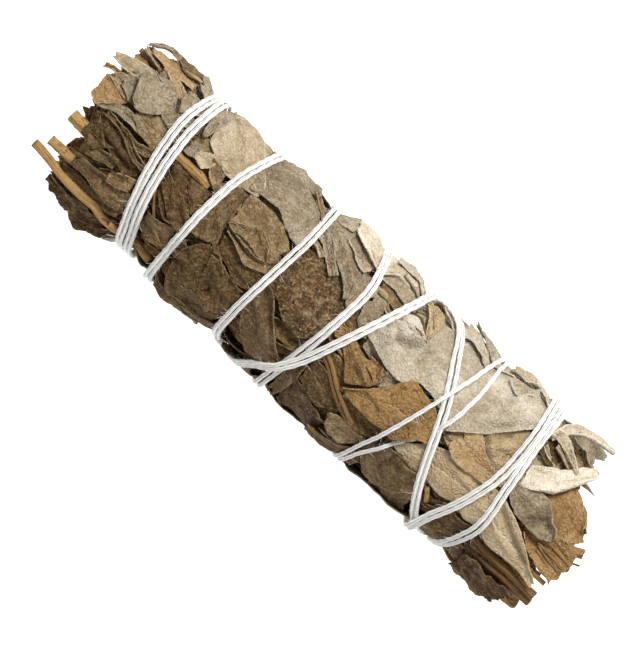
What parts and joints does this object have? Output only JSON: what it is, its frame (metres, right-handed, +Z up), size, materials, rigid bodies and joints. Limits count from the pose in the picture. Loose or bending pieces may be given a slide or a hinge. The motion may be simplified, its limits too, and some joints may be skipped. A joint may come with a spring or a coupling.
{
  "type": "sage smudge stick",
  "caption": "Bundle of dried white sage leaves and sprigs pressed into a round stick and bound with a wound, crossing cotton string, lying on its side.",
  "frame": {"origin": "centre of the bounding box, on the surface the stick lies on", "axes": "+X along the stick towards the end with the close-wound crossing turns, +Z up, +Y across the stick"},
  "size_m": [0.1104, 0.0324, 0.0309],
  "materials": {
    "cream_leaf": "matt felted dried leaf, pale cream",
    "grey_leaf": "matt felted dried leaf, grey-green to beige",
    "tan_leaf": "matt dried leaf, tan with brown specks",
    "brown_leaf": "matt dried leaf, brown with paler veins",
    "dark_leaf": "matt dried leaf, dark brown",
    "leafy_sprig": "matt pressed dried leaves with woody stalks",
    "woody_stalk": "dry bare stalk, faintly ribbed",
    "cotton": "soft twisted undyed cotton, matt"
  },
  "bodies": {
    "root": {"back_leaf_01": "grey_leaf", "back_leaf_02": "brown_leaf", "back_leaf_03": "cream_leaf", "back_leaf_04": "brown_leaf", "back_leaf_05": "tan_leaf", "back_leaf_06": "dark_leaf", "back_leaf_07": "grey_leaf", "back_leaf_08": "grey_leaf", "back_leaf_09": "brown_leaf", "back_leaf_10": "cream_leaf", "back_leaf_11": "brown_leaf", "back_leaf_12": "tan_leaf", "back_leaf_13": "dark_leaf", "back_leaf_14": "grey_leaf", "back_leaf_15": "grey_leaf", "back_leaf_16": "brown_leaf", "back_leaf_17": "cream_leaf", "back_leaf_18": "brown_leaf", "back_leaf_19": "tan_leaf", "back_leaf_20": "dark_leaf", "back_leaf_21": "grey_leaf", "big_pale_leaf": "cream_leaf", "brown_round_leaf": "brown_leaf", "cotton_string": "cotton", "cracked_tan_leaf": "tan_leaf", "cream_fold_leaf": "cream_leaf", "cream_side_leaf": "cream_leaf", "cream_tip_leaf": "cream_leaf", "curled_tan_leaf": "tan_leaf", "dark_end_leaf": "dark_leaf", "dark_low_leaf": "dark_leaf", "dark_side_leaf": "brown_leaf", "folded_cream_leaf": "cream_leaf", "grey_end_leaf": "grey_leaf", "grey_folded_leaf": "grey_leaf", "grey_green_leaf": "grey_leaf", "inner_sprig": "leafy_sprig", "leafy_sprig_1": "leafy_sprig", "leafy_sprig_2": "leafy_sprig", "leafy_sprig_3": "leafy_sprig", "leafy_sprig_4": "leafy_sprig", "leafy_sprig_5": "leafy_sprig", "leafy_sprig_6": "leafy_sprig", "leafy_sprig_7": "leafy_sprig", "long_cream_strip": "cream_leaf", "long_midrib_leaf": "grey_leaf", "long_pointed_leaf": "tan_leaf", "loose_twig_1": "woody_stalk", "loose_twig_2": "woody_stalk", "lower_brown_leaf": "brown_leaf", "pale_scrap_leaf": "cream_leaf", "rusty_leaf": "brown_leaf", "slanting_pale_leaf": "grey_leaf", "split_tan_leaf": "tan_leaf", "spotted_tan_leaf": "tan_leaf", "tan_end_leaf": "tan_leaf", "tan_square_leaf": "tan_leaf", "veined_brown_leaf": "brown_leaf"}
  },
  "joints": []
}
